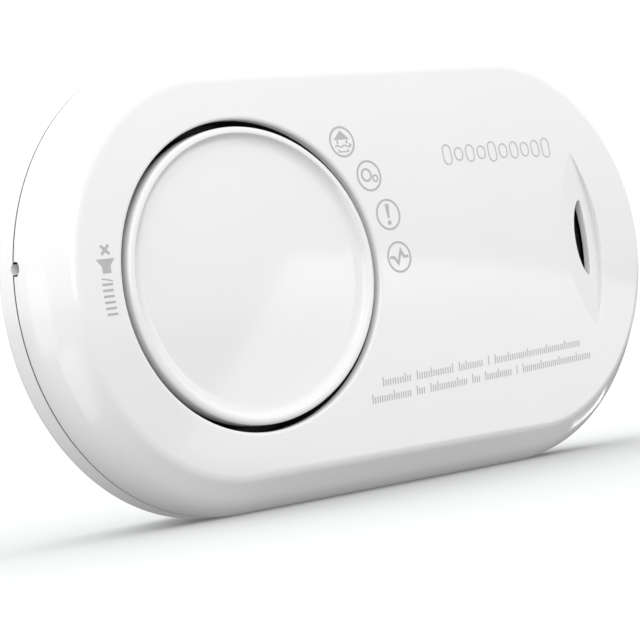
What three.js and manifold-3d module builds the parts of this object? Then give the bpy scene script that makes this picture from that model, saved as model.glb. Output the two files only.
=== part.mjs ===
// Battery carbon monoxide alarm: a pill-shaped two-part case with a large round test button,
// a gas inlet slot, a circuit board, two AA cells and a wall plate.
// Millimetres. +Z up, the face looks along -Y, +X to the right.
// Every sub-part is drawn in the case frame: x from the middle, y as depth behind the crown of
// the face, z from mid-height. The group then moves the case onto its long bottom edge.
import * as THREE from 'three';
import { mergeVertices } from 'three/addons/utils/BufferGeometryUtils.js';
import Module from 'manifold-3d';

const wasm = await Module();
wasm.setup();

// ---------------------------------------------------------------- driving dimensions
const LENGTH = 120;                 // overall, along X
const HEIGHT = 68;                  // overall, along Z
const DEPTH = 33;                   // crown of the face to the back of the wall plate
const WALL = 2;                     // moulded wall thickness
const GAP = 0.3;                    // clearance between neighbouring solids

const CROWN = { x: 0.00075, z: 0.0028 };      // the face falls back by x*x and z*z times these
const SIDE = { straight: 29, end: 31, half: HEIGHT / 2 };        // widest outline
const CREASE = { straight: 29.4, end: 26.7, half: 29 };          // edge of the domed face
const BEVEL_DEPTH = 6.4;            // where the bevel turns towards the side wall
const SIDE_DEPTH = 8.2;             // front edge of the flat side wall
const SEAM_DEPTH = 11.9;            // back edge of the front cover
const STRIP = { straight: 26, end: 33.6, half: HEIGHT / 2 };     // rear cover behind its strip
const STRIP_DEPTH = 16.2;           // back edge of the rear cover's full-width strip
const REAR_DEPTH = 30.7;            // rear face of the rear cover
const REAR_ROUND = 2;               // rounding of the rear edge
const TAPER = 0.9;                  // how far each end comes in per mm of depth behind the strip

const BUTTON = { x: -26, opening: 22.7, radius: 21.7, rim: 20.4, dish: 18.7, sink: 1.2, thickness: 1.2 };
const BUTTON_SKIRT = { inner: 20.3, flange: 23.3, top: 8, bottom: 9 };
const COLLAR = { radius: 24.2, bottom: 7.6 };
const ICON = { ring: 26.9, angles: [42.6, 28.3, 14.3, 0.2] };    // round the button's centre
const SCOOP = { x: 17.25, z: -0.75, radius: 29.2, start: 37.5, slope: 0.168 };
const SLOT = { x: 43.4, z: -0.1, half: 6.2, leftBulge: 2.5, rightBulge: 0.7 };
const PIN_HOLE = { z: 5, depth: 11.5, radius: 0.8 };

const BOARD = { front: 11.1, back: 12.7, left: -48, right: 52, half: 27, corner: 24 };
const ON_BOARD = BOARD.front - GAP;           // parts on the board end here
const SPRING_RING = 17.2;           // radius of the three button springs round the button centre
const SWITCH = { x: BUTTON.x - 17.4, half: 2.4, top: 8.3, plungerTop: 6.6, radius: 1.2 };
const SENSOR = { x: 43.5, z: -0.7, radius: 7 };

const CELL = { radius: 7.05, z: 7.5, depth: 21.2, start: -23.7, end: 25.5, nub: 26.8 };
const TRAY = { x: 30.5, z: 17, front: 13.1, back: 28.4, floor: 0.7, wall: 1.2 };
const DOOR = { x: 29.8, z: 16, front: 28.7, back: 30.5, pin: 0.45 };
const HINGE_DEPTH = (DOOR.front + DOOR.back) / 2;
const CONTACT_X = 28.6;             // inner face of the contact plates

const PLATE = { front: REAR_DEPTH + GAP, straight: 14, end: 29, half: 29 };
const PLATE_WINDOW = { x: 35, z: 22, corner: 12 };
const HOOK = { x: 39, z: 4, travel: 5 };
const CASE_SCREWS = [[-10, 25.5], [-10, -25.5], [28, 23.8], [28, -23.8]];
const BOARD_SCREWS = [[14, 22.5], [14, -22.5]];
const SEAT_X = -49.9;               // left face of the rib behind the catch spring

const RING_STEPS = 16;              // steps round each end of an outline
const LINE_STEPS = 5;               // steps along each straight of an outline
const ROUND = 48;                   // steps round the button and its opening
const CROWN_STEPS = [0.03, 0.36, 0.68, 1];     // rings of the domed face, as shares of its edge
const GRID = 10000;                 // grid points per mm that shared vertices are snapped to

// ---------------------------------------------------------------- geometry helpers
const crown = (x, z) => CROWN.x * x * x + CROWN.z * z * z;
const mix = (a, b, t) => a + (b - a) * t;
const mixOutline = (a, b, t) => ({
  straight: mix(a.straight, b.straight, t), end: mix(a.end, b.end, t), half: mix(a.half, b.half, t),
});
const inset = (o, amount) => ({ straight: o.straight, end: o.end - amount, half: o.half - amount });

// One closed ring of points round an outline, at a depth given by a function of x and z.
function ring(o, depthAt) {
  const flat = [];
  for (const side of [1, -1]) {
    for (let i = 0; i <= RING_STEPS; i++) {
      const a = Math.PI * (i / RING_STEPS - 0.5);
      flat.push([side * (o.straight + o.end * Math.cos(a)), side * o.half * Math.sin(a)]);
    }
    for (let i = 1; i < LINE_STEPS; i++) {
      flat.push([side * o.straight * (1 - 2 * i / LINE_STEPS), side * o.half]);
    }
  }
  return flat.map(([x, z]) => new THREE.Vector3(x, depthAt(x, z), z));
}

// One ring of points on a circle about (cx, 0).
function circle(cx, radius, depthAt) {
  return Array.from({ length: ROUND }, (_, i) => {
    const a = 2 * Math.PI * i / ROUND;
    const x = cx + radius * Math.cos(a);
    const z = radius * Math.sin(a);
    return new THREE.Vector3(x, depthAt(x, z), z);
  });
}

// Joins rings of equal length into a closed solid, with a fan over the first and the last one.
function loft(rings) {
  const n = rings[0].length;
  const points = rings.flat();
  const mean = (row) => row.reduce((s, p) => s.add(p), new THREE.Vector3()).divideScalar(n);
  const first = points.push(mean(rings[0])) - 1;
  const last = points.push(mean(rings.at(-1))) - 1;
  const index = [];
  for (let i = 0; i < n; i++) {
    const j = (i + 1) % n;
    index.push(first, j, i);
    for (let r = 0; r + 1 < rings.length; r++) {
      const [a, b, c, d] = [r * n + i, r * n + j, (r + 1) * n + i, (r + 1) * n + j];
      index.push(a, b, d, a, d, c);
    }
    const base = (rings.length - 1) * n;
    index.push(last, base + i, base + j);
  }
  const geometry = new THREE.BufferGeometry().setFromPoints(points);
  geometry.setIndex(index);
  return facingOut(geometry);
}

// Turns every triangle over if the surface encloses a negative volume.
function facingOut(geometry) {
  const p = geometry.attributes.position;
  const index = geometry.index.array;
  const [a, b, c] = [new THREE.Vector3(), new THREE.Vector3(), new THREE.Vector3()];
  let volume = 0;
  for (let i = 0; i < index.length; i += 3) {
    a.fromBufferAttribute(p, index[i]);
    b.fromBufferAttribute(p, index[i + 1]);
    c.fromBufferAttribute(p, index[i + 2]);
    volume += a.dot(b.cross(c));
  }
  if (volume < 0) geometry.setIndex(Array.from(index).reverse());
  return geometry;
}

const block = (x0, x1, y0, y1, z0, z1) => new THREE.BoxGeometry(x1 - x0, y1 - y0, z1 - z0)
  .translate((x0 + x1) / 2, (y0 + y1) / 2, (z0 + z1) / 2);
const rod = (x, z, radius, y0, y1, sides = 16) => new THREE.CylinderGeometry(radius, radius, y1 - y0, sides)
  .translate(x, (y0 + y1) / 2, z);
const crossRod = (x0, x1, y, z, radius, sides = 14) => new THREE.CylinderGeometry(radius, radius, x1 - x0, sides)
  .rotateZ(-Math.PI / 2).translate((x0 + x1) / 2, y, z);
const turned = (profile, sides) => facingOut(welded(
  new THREE.LatheGeometry(profile.map(([r, y]) => new THREE.Vector2(r, y)), sides)));
const lathe = (x, z, profile, sides) => turned(profile, sides).translate(x, 0, z);

// Positions only, on a 0.1 micron grid with shared vertices, so that faces that meet share them.
function welded(geometry) {
  const plain = geometry.clone();
  plain.deleteAttribute('normal');
  plain.deleteAttribute('uv');
  const values = plain.attributes.position.array;
  for (let i = 0; i < values.length; i++) values[i] = Math.round(values[i] * GRID) / GRID;
  return mergeVertices(plain, 0.5 / GRID);
}

// A flat outline drawn in x and z, thickened between two depths.
function slab(shape, y0, y1, curveSegments = 10) {
  return new THREE.ExtrudeGeometry(shape, { depth: y1 - y0, bevelEnabled: false, curveSegments })
    .rotateX(Math.PI / 2).translate(0, y1, 0);
}

function toSolid(geometry) {
  const merged = welded(geometry);
  return new wasm.Manifold(new wasm.Mesh({
    numProp: 3,
    vertProperties: merged.attributes.position.array,
    triVerts: Uint32Array.from(merged.index.array),
  }));
}

// Adds and cuts in order: carve(base, {add: [...], cut: [...]}).
function carve(base, { add = [], cut = [] }) {
  let solid = toSolid(base);
  for (const piece of add) solid = solid.add(toSolid(piece));
  for (const piece of cut) solid = solid.subtract(toSolid(piece));
  const mesh = solid.getMesh();
  const geometry = new THREE.BufferGeometry();
  geometry.setAttribute('position', new THREE.BufferAttribute(mesh.vertProperties, 3));
  geometry.setIndex(Array.from(mesh.triVerts));
  return geometry;
}

// A coil spring along Y with closed round wire.
function coil(radius0, radius1, wire, length, turns) {
  class Helix extends THREE.Curve {
    getPoint(t) {
      const a = 2 * Math.PI * turns * t;
      const r = mix(radius0, radius1, t);
      return new THREE.Vector3(r * Math.cos(a), wire + t * (length - 2 * wire), r * Math.sin(a));
    }
  }
  const section = new THREE.Shape().absarc(0, 0, wire, 0, 2 * Math.PI);
  return new THREE.ExtrudeGeometry(section, {
    steps: Math.round(turns * 9), curveSegments: 3, extrudePath: new Helix(),
  });
}

function roundedRectangle(x0, x1, z0, z1, r) {
  const s = new THREE.Shape();
  s.absarc(x1 - r, z1 - r, r, 0, Math.PI / 2);
  s.absarc(x0 + r, z1 - r, r, Math.PI / 2, Math.PI);
  s.absarc(x0 + r, z0 + r, r, Math.PI, 1.5 * Math.PI);
  s.absarc(x1 - r, z0 + r, r, 1.5 * Math.PI, 2 * Math.PI);
  return s;
}

const circlePath = (x, z, r) => new THREE.Path().absarc(x, z, r, 0, 2 * Math.PI);
const onButton = (angle, radius) => {
  const a = THREE.MathUtils.degToRad(angle);
  return [BUTTON.x + radius * Math.cos(a), radius * Math.sin(a)];
};

// ---------------------------------------------------------------- front cover
const at = (depth) => () => depth;

function frontOutside() {
  const rings = CROWN_STEPS.map((t) => ring(
    { straight: CREASE.straight * t, end: CREASE.end * t, half: CREASE.half * t }, crown));
  rings.push(ring(mixOutline(CREASE, SIDE, 0.85), at(BEVEL_DEPTH)));
  rings.push(ring(SIDE, at(SIDE_DEPTH)), ring(SIDE, at(SEAM_DEPTH)));
  return loft(rings);
}

function frontInside() {
  const inner = inset(CREASE, WALL * 0.8);
  const behind = (x, z) => crown(x, z) + WALL;
  const rings = CROWN_STEPS.map((t) => ring(
    { straight: inner.straight * t, end: inner.end * t, half: inner.half * t }, behind));
  rings.push(ring(inset(SIDE, WALL), at(SIDE_DEPTH + 0.6)));
  rings.push(ring(inset(SIDE, WALL), at(SEAM_DEPTH + 1)));
  return loft(rings);
}

// The shallow scoop round the gas slot: a flat floor that runs down towards an arc-shaped step.
function scoopCutter() {
  const tip = 0.8;
  const front = -2;
  const shape = new THREE.Shape();
  shape.absarc(SCOOP.x, SCOOP.z, SCOOP.radius, -tip, tip, false);
  shape.lineTo(SCOOP.start, SCOOP.z + SCOOP.radius * Math.sin(tip));
  shape.lineTo(SCOOP.start, SCOOP.z - SCOOP.radius * Math.sin(tip));
  shape.closePath();
  const geometry = slab(shape, front, 0, 20);
  const p = geometry.attributes.position;
  for (let i = 0; i < p.count; i++) {
    if (p.getY(i) > front / 2) {
      p.setY(i, crown(SCOOP.start, 0) + SCOOP.slope * (p.getX(i) - SCOOP.start));
    }
  }
  return geometry;
}

// A lens with one deep and one shallow side.
function slotShape(grow = 0) {
  const s = new THREE.Shape();
  const half = SLOT.half + grow;
  s.moveTo(SLOT.x, SLOT.z - half);
  s.quadraticCurveTo(SLOT.x + 2 * (SLOT.rightBulge + grow), SLOT.z, SLOT.x, SLOT.z + half);
  s.quadraticCurveTo(SLOT.x - 2 * (SLOT.leftBulge + grow), SLOT.z, SLOT.x, SLOT.z - half);
  return s;
}

function frontCover() {
  const pad = slab(roundedRectangle(37.5, 50.5, -13, 12, 5), 2.9, 3.9);
  const bosses = CASE_SCREWS.map(([x, z]) => rod(x, z, 2.6, 3.6, SEAM_DEPTH - GAP));
  const posts = BOARD_SCREWS.map(([x, z]) => rod(x, z, 2.2, 3, ON_BOARD, 12));
  const hollow = carve(frontOutside(), { cut: [frontInside()] });
  return carve(hollow, {
    add: [rod(BUTTON.x, 0, COLLAR.radius, 1.9, COLLAR.bottom, ROUND), pad, ...bosses, ...posts],
    cut: [
      rod(BUTTON.x, 0, BUTTON.opening, -1, COLLAR.bottom + 1, ROUND),
      scoopCutter(),
      slab(slotShape(), 0, 6),
      crossRod(-LENGTH / 2 - 1, -LENGTH / 2 + 4, PIN_HOLE.depth, PIN_HOLE.z, PIN_HOLE.radius),
      ...CASE_SCREWS.map(([x, z]) => rod(x, z, 1.5, 5.4, SEAM_DEPTH + 1, 12)),
      ...BOARD_SCREWS.map(([x, z]) => rod(x, z, 1.25, 5, SEAM_DEPTH, 10)),
    ],
  });
}

// ---------------------------------------------------------------- test button
function testButton() {
  const dish = (x, z) => crown(x, z) + BUTTON.sink;
  const under = (x, z) => dish(x, z) + BUTTON.thickness;
  const root = (x, z) => dish(x, z) + BUTTON.thickness / 2;
  const c = (radius, depthAt) => circle(BUTTON.x, radius, depthAt);
  const body = loft([
    c(9, dish), c(BUTTON.dish, dish), c(BUTTON.rim, crown), c(BUTTON.radius - 0.5, crown),
    c(BUTTON.radius, (x, z) => crown(x, z) + 0.5),
    c(BUTTON.radius, at(BUTTON_SKIRT.top)), c(BUTTON_SKIRT.flange, at(BUTTON_SKIRT.top)),
    c(BUTTON_SKIRT.flange, at(BUTTON_SKIRT.bottom)), c(BUTTON_SKIRT.inner, at(BUTTON_SKIRT.bottom)),
    c(BUTTON_SKIRT.inner, under), c(9, under),
  ]);
  const seats = [90, 210, 330].map((angle) => {
    const [x, z] = onButton(angle, SPRING_RING);
    return rod(x, z, 2.2, root(x, z), 4.9, 12);
  });
  const push = rod(SWITCH.x, 0, 1.5, root(SWITCH.x, 0), 6.2, 12);
  return carve(body, { add: [...seats, push] });
}

function buttonSpring(angle) {
  const [x, z] = onButton(angle, SPRING_RING);
  return coil(1.7, 1.7, 0.32, 3.2, 3.5).translate(x, 5.9, z);
}

// ---------------------------------------------------------------- sounder
function sounderHousing() {
  const cup = lathe(BUTTON.x, 0, [
    [3, 5.2], [14.6, 5.2], [14.6, 9.4], [19.8, 9.4], [19.8, 10.2], [14.6, 10.2], [14.6, ON_BOARD],
    [13.4, ON_BOARD], [13.4, 9.4], [11, 9.4], [11, 8.65], [13.4, 8.65], [13.4, 6.2], [3, 6.2], [3, 5.2],
  ], 36);
  const reach = SWITCH.half + 0.4;
  const notch = block(SWITCH.x - 8, SWITCH.x + reach, 9, 10.5, -reach, reach);
  return carve(cup, { cut: [notch] });
}

const piezoDisc = () => rod(BUTTON.x, 0, 12.6, 7.9, 8.3, 28);

// ---------------------------------------------------------------- board and what is on it
function circuitBoard() {
  const { left, right, half, corner, front, back } = BOARD;
  return carve(slab(roundedRectangle(left, right, -half, half, corner), front, back), {
    cut: [
      ...CASE_SCREWS.map(([x, z]) => rod(x, z, 3.1, front - 1, back + 1)),
      ...BOARD_SCREWS.map(([x, z]) => rod(x, z, 1.25, front - 1, back + 1, 10)),
    ],
  });
}

function switchBase() {
  const { x, half, top } = SWITCH;
  return carve(block(x - half, x + half, top, ON_BOARD, -half, half), {
    cut: [rod(x, 0, SWITCH.radius + GAP, top - 1, ON_BOARD - 0.5, 12)],
  });
}

const switchPlunger = () => rod(SWITCH.x, 0, SWITCH.radius, SWITCH.plungerTop, 9.4, 12);

function led(angle) {
  const [x, z] = onButton(angle, ICON.ring);
  return lathe(x, z, [
    [0, 8.2], [0.9, 8.5], [1.4, 9.3], [1.4, 10.1], [1.6, 10.1], [1.6, ON_BOARD], [0, ON_BOARD],
  ], 12);
}

// One black moulding with a chimney over each lamp, so that each symbol lights alone.
function lightBaffle() {
  const [from, to] = [THREE.MathUtils.degToRad(-8), THREE.MathUtils.degToRad(49)];
  const shape = new THREE.Shape();
  shape.absarc(BUTTON.x, 0, 30.8, from, to, false);
  shape.absarc(BUTTON.x, 0, 24.6, to, from, true);
  shape.closePath();
  for (const angle of ICON.angles) {
    const [x, z] = onButton(angle, ICON.ring);
    shape.holes.push(circlePath(x, z, 1.9));
  }
  return slab(shape, 3.9, ON_BOARD, 8);
}

// ---------------------------------------------------------------- gas sensor
const dustFilter = () => slab(slotShape(1.1), 5, 5.4, 8);
const sensorRing = (inner, outer, y0, y1) => lathe(SENSOR.x, SENSOR.z,
  [[inner, y0], [outer, y0], [outer, y1], [inner, y1], [inner, y0]], 24);
const sensorGasket = () => sensorRing(4.6, SENSOR.radius, 5.7, 6.5);
const sensorCap = () => sensorRing(1.4, SENSOR.radius - 0.2, 6.8, 7.8);
const sensorCan = () => rod(SENSOR.x, SENSOR.z, SENSOR.radius, 8.1, ON_BOARD, 28);

// ---------------------------------------------------------------- small electronic parts
const capacitor = (x, z) => rod(x, z, 3.1, 5.4, ON_BOARD, 18);
const sounderCoil = () => lathe(31.5, 9, [
  [0, 5], [3.6, 5], [3.6, 5.9], [2.7, 5.9], [2.7, 9.9], [3.6, 9.9], [3.6, ON_BOARD], [0, ON_BOARD],
], 18);
const controlChip = () => block(13, 22, 9.4, ON_BOARD, 3, 12);
const batteryConnector = () => block(17, 25, 6.6, ON_BOARD, -22, -17.6);

// ---------------------------------------------------------------- cells and their compartment
function batteryTray() {
  const { x, z, front, back, floor, wall } = TRAY;
  return carve(block(-x, x, front, back, -z, z), {
    cut: [block(-x + wall, x - wall, front + floor, back + 1, -z + wall, z - wall)],
  });
}

// Cell number 1 lies above with its nub to the right, number 2 below with its nub to the left.
function cell(side) {
  const geometry = turned([
    [0, CELL.start], [CELL.radius - 0.4, CELL.start], [CELL.radius, CELL.start + 0.5],
    [CELL.radius, CELL.end - 0.8], [CELL.radius - 0.9, CELL.end], [2.7, CELL.end],
    [2.7, CELL.nub], [0, CELL.nub],
  ], 24);
  return geometry.rotateZ(-side * Math.PI / 2).translate(0, CELL.depth, side * CELL.z);
}

function batterySpring(side) {
  return coil(4.4, 2.4, 0.35, 4.1, 3.5).rotateZ(-side * Math.PI / 2)
    .translate(-side * (CONTACT_X - GAP), CELL.depth, side * CELL.z);
}

const plateAt = (direction, side) => {
  const inner = direction * CONTACT_X;
  const outer = direction * (CONTACT_X + 0.4);
  return block(Math.min(inner, outer), Math.max(inner, outer), 16.4, 26.4,
    side * CELL.z - 5.5, side * CELL.z + 5.5);
};
const springPlate = (side) => plateAt(-side, side);
function contactTab(side) {
  const [a, b] = [side * (CELL.nub + GAP), side * (CONTACT_X + 0.2)];
  const dimple = crossRod(Math.min(a, b), Math.max(a, b), CELL.depth, side * CELL.z, 2.4);
  return carve(plateAt(side, side), { add: [dimple] });
}

// ---------------------------------------------------------------- rear cover
const taperAt = (depth) => TAPER * (depth - STRIP_DEPTH);

function rearOutside() {
  const edge = REAR_DEPTH - REAR_ROUND;
  return loft([
    ring(SIDE, at(SEAM_DEPTH + GAP)),
    ring(SIDE, at(STRIP_DEPTH - 0.5)),
    ring(STRIP, at(STRIP_DEPTH)),
    ring({ ...STRIP, straight: STRIP.straight - taperAt(edge) }, at(edge)),
    ring({ straight: STRIP.straight - taperAt(edge) - 1, end: STRIP.end - 0.6, half: STRIP.half - 0.6 },
      at(REAR_DEPTH - 0.5)),
    ring({ straight: STRIP.straight - taperAt(edge) - 1, end: STRIP.end - 1.2, half: STRIP.half - 1.6 },
      at(REAR_DEPTH)),
  ]);
}

function rearInside() {
  const inner = inset(STRIP, WALL);
  const back = REAR_DEPTH - WALL;
  return loft([
    ring(inset(SIDE, WALL), at(SEAM_DEPTH - 1)),
    ring(inner, at(STRIP_DEPTH - 0.8)),
    ring({ ...inner, straight: inner.straight - taperAt(back) - 0.7 }, at(back)),
  ]);
}

function rearCover() {
  const bosses = CASE_SCREWS.map(([x, z]) => rod(x, z, 3.4, 13, REAR_DEPTH - 1, 18));
  const seat = block(SEAT_X, SEAT_X + 1.2, 10.4, 26.2, PIN_HOLE.z - 2, PIN_HOLE.z + 2);
  const slots = [-1, 1].flatMap((side) => {
    const x = side * HOOK.x;
    return [
      block(x - 1.4, x + 1.4, 28, 31, HOOK.z - 1.6, HOOK.z + HOOK.travel + 1.6),
      block(x - 2.8, x + 2.8, 28, 31, HOOK.z + HOOK.travel - 1.6, HOOK.z + HOOK.travel + 1.6),
    ];
  });
  const doorway = block(-DOOR.x - 0.4, DOOR.x + 0.4, 28, 31, -DOOR.z - 0.4, DOOR.z + 1.3);
  const pinSlots = block(-DOOR.x - 1.7, DOOR.x + 1.7, 28, 30.35, DOOR.z - 0.9, DOOR.z + 0.9);
  const fingerNotch = slab(roundedRectangle(-7, 7, -20, -15.8, 1.8), 29.7, 31, 4);
  const hollow = carve(rearOutside(), { cut: [rearInside()] });
  return carve(hollow, {
    add: [...bosses, seat],
    cut: [
      ...CASE_SCREWS.flatMap(([x, z]) => [rod(x, z, 1.5, 12, 20, 12), rod(x, z, 2.8, 18, 32, 16)]),
      crossRod(-LENGTH / 2 - 1, -LENGTH / 2 + 4, PIN_HOLE.depth, PIN_HOLE.z, PIN_HOLE.radius),
      ...slots, doorway, pinSlots, fingerNotch,
    ],
  });
}

// ---------------------------------------------------------------- battery door and wall plate
function batteryDoor() {
  const { x, z, front, back, pin } = DOOR;
  const ribs = [-13.6, -12.2, -10.8].map((rib) => block(-6, 6, back - 0.5, back + 0.3, rib, rib + 0.6));
  return carve(block(-x, x, front, back, -z, z), {
    add: [
      crossRod(-x, x, HINGE_DEPTH, z, (back - front) / 2, 16),
      crossRod(-x - 1.3, x + 1.3, HINGE_DEPTH, z, pin, 10),
      ...ribs,
    ],
  });
}

function wallPlate() {
  const outline = new THREE.Shape(ring(PLATE, at(0)).map((p) => new THREE.Vector2(p.x, p.z)));
  const { x, z, corner } = PLATE_WINDOW;
  outline.holes.push(roundedRectangle(-x, x, -z, z, corner));
  for (const side of [-1, 1]) {
    outline.holes.push(circlePath(side * HOOK.x, -7, 2.1));
    outline.holes.push(roundedRectangle(-5, 5, side * 25.5 - 2.1, side * 25.5 + 2.1, 2.09));
  }
  const hooks = [-1, 1].flatMap((side) => {
    const hookX = side * HOOK.x;
    return [
      block(hookX - 1, hookX + 1, 28, PLATE.front + 0.5, HOOK.z - 1.2, HOOK.z + 1.2),
      block(hookX - 2.4, hookX + 2.4, 27.2, 28.3, HOOK.z - 1.2, HOOK.z + 1.2),
    ];
  });
  return carve(slab(outline, PLATE.front, DEPTH, 6), { add: hooks });
}

// ---------------------------------------------------------------- catch and screws
function releaseCatch() {
  const depth = SEAM_DEPTH + GAP / 2;
  const body = block(-56.3, -54.4, depth - 1.5, depth + 1.5, PIN_HOLE.z - 2, PIN_HOLE.z + 2);
  return carve(body, { add: [crossRod(-57.2, -56, depth, PIN_HOLE.z, 1.6)] });
}

const catchSpring = () => coil(1.1, 1.1, 0.25, 2.8, 3).rotateZ(-Math.PI / 2)
  .translate(-53, SEAM_DEPTH + GAP / 2, PIN_HOLE.z);
const caseScrew = ([x, z]) => lathe(x, z,
  [[0, 7.6], [0.8, 8.4], [1.15, 9], [1.15, 18.3], [2.3, 18.3], [2.3, 20], [0, 20.3]], 12);
const boardScrew = ([x, z]) => lathe(x, z,
  [[0, 7], [0.9, 8], [0.9, 13], [1.9, 13], [1.9, 14], [0, 14.3]], 10);

// ---------------------------------------------------------------- finishes and assembly
const FINISH = {
  white: { color: 0xf2f2f1, roughness: 0.2, metalness: 0 },
  button: { color: 0xf0f0ef, roughness: 0.35, metalness: 0 },
  black: { color: 0x1b1b1c, roughness: 0.6, metalness: 0 },
  board: { color: 0x1f6b3a, roughness: 0.5, metalness: 0 },
  foam: { color: 0x2a2a2b, roughness: 0.95, metalness: 0 },
  steel: { color: 0xb4b6b8, roughness: 0.35, metalness: 1 },
  brass: { color: 0xc9a557, roughness: 0.35, metalness: 1 },
  aluminium: { color: 0xc9cbcd, roughness: 0.4, metalness: 1 },
  lens: { color: 0xe8f0e8, roughness: 0.15, metalness: 0 },
  wrap: { color: 0x31567c, roughness: 0.3, metalness: 0.2 },
  ferrite: { color: 0x3a3331, roughness: 0.7, metalness: 0 },
};

const detector = new THREE.Group();
detector.position.set(0, -DEPTH / 2, HEIGHT / 2);

function add(name, finish, geometry) {
  const mesh = new THREE.Mesh(geometry, new THREE.MeshStandardMaterial(FINISH[finish]));
  mesh.name = name;
  detector.add(mesh);
}

add('front_cover', 'white', frontCover());
add('rear_cover', 'white', rearCover());
add('wall_plate', 'white', wallPlate());
add('battery_door', 'white', batteryDoor());
add('test_button', 'button', testButton());
[90, 210, 330].forEach((angle, i) => add(`button_spring_${i + 1}`, 'steel', buttonSpring(angle)));
add('sounder_housing', 'black', sounderHousing());
add('piezo_disc', 'brass', piezoDisc());
add('circuit_board', 'board', circuitBoard());
add('switch_base', 'black', switchBase());
add('switch_plunger', 'black', switchPlunger());
['led_alarm', 'led_gas', 'led_fault', 'led_power']
  .forEach((name, i) => add(name, 'lens', led(ICON.angles[i])));
add('light_baffle', 'black', lightBaffle());
add('dust_filter', 'foam', dustFilter());
add('sensor_gasket', 'foam', sensorGasket());
add('sensor_cap', 'black', sensorCap());
add('sensor_can', 'steel', sensorCan());
add('control_chip', 'black', controlChip());
add('capacitor_1', 'aluminium', capacitor(10, -12));
add('capacitor_2', 'aluminium', capacitor(18, -10));
add('sounder_coil', 'ferrite', sounderCoil());
add('battery_connector', 'white', batteryConnector());
add('battery_tray', 'black', batteryTray());
[1, -1].forEach((side, i) => {
  add(`battery_${i + 1}`, 'wrap', cell(side));
  add(`battery_spring_${i + 1}`, 'steel', batterySpring(side));
  add(`spring_plate_${i + 1}`, 'steel', springPlate(side));
  add(`contact_tab_${i + 1}`, 'steel', contactTab(side));
});
CASE_SCREWS.forEach((place, i) => add(`case_screw_${i + 1}`, 'steel', caseScrew(place)));
BOARD_SCREWS.forEach((place, i) => add(`board_screw_${i + 1}`, 'steel', boardScrew(place)));
add('release_catch', 'black', releaseCatch());
add('catch_spring', 'steel', catchSpring());

export default detector;
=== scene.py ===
"""Looks of a battery carbon monoxide alarm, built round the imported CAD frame.

Sizes are in millimetres in the case's own frame, as in the CAD source: x from the middle, depth
behind the crown of the face, z from mid-height. MM and case_to_row() turn them into metres in the
row frame.
"""

import math

import bmesh
import bpy
import numpy as np
from mathutils import Matrix, Vector


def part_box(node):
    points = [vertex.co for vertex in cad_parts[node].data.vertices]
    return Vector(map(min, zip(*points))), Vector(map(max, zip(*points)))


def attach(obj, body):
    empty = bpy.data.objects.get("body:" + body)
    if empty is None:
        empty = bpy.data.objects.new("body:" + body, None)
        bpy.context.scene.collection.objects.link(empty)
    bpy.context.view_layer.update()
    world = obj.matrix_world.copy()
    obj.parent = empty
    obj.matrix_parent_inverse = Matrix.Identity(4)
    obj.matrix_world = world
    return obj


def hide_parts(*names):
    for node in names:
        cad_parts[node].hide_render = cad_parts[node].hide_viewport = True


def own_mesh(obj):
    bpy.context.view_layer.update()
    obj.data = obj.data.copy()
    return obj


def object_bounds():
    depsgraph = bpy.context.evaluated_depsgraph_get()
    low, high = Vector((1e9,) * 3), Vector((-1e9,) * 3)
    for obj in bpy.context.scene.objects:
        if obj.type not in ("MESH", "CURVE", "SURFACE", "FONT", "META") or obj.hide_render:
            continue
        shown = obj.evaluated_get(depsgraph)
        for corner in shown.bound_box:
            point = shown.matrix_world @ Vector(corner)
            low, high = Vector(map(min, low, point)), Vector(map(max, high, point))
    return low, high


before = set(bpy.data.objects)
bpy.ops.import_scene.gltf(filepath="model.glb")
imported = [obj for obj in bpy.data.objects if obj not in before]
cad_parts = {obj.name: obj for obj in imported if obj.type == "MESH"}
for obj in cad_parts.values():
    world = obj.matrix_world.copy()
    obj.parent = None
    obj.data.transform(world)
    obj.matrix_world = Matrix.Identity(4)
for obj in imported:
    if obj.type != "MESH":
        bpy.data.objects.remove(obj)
cad_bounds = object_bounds()

# ---------------- dimensions, in millimetres
MM = 0.001
FRONT_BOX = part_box("front_cover")
FACE_Y = cad_bounds[0].y
MID_Z = (FRONT_BOX[0].z + FRONT_BOX[1].z) / 2
HALF_LENGTH = FRONT_BOX[1].x / MM
HALF_HEIGHT = (FRONT_BOX[1].z - FRONT_BOX[0].z) / 2 / MM
SEAM = (FRONT_BOX[1].y - FACE_Y) / MM
REAR_DEPTH = (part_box("rear_cover")[1].y - FACE_Y) / MM
PLATE_FRONT = REAR_DEPTH + 0.3
PLATE_BACK = (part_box("wall_plate")[1].y - FACE_Y) / MM

CROWN = (0.00075, 0.0028)            # the face falls back by x*x and z*z times these
WALL = 2.0
SIDE = (29.0, HALF_LENGTH - 29.0, HALF_HEIGHT)      # straight, end and half height of an outline
CREASE = (29.4, 26.7, 29.0)
BEVEL_END = 7.1                      # depth at which the bevel would meet the side wall
SEAM_GAP = 0.3
STRIP_DEPTH = 16.2
STRIP = (26.0, 33.6, HALF_HEIGHT)
TAPER = 0.9

BUTTON_X = (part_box("test_button")[0].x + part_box("test_button")[1].x) / 2 / MM
OPENING = 22.7
COLLAR = (24.2, 7.6)                 # outer radius and depth of its end
SHADOW_START = 1.5                   # the opening's wall is painted black as shade deeper than this
WALL_SHADOW = 2.6                    # and the button's side wall and flange deeper than this, also painted shade
BUTTON_RADIUS = 21.7
RIM_INNER = 20.7
DISH_RADIUS = 18.6
DISH_SINK = 1.2
DISC_THICKNESS = 1.2
SKIRT_INNER = 20.3
SKIRT_FLANGE = 23.3
SKIRT_TOP = 8.0
SKIRT_BOTTOM = 9.0

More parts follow.
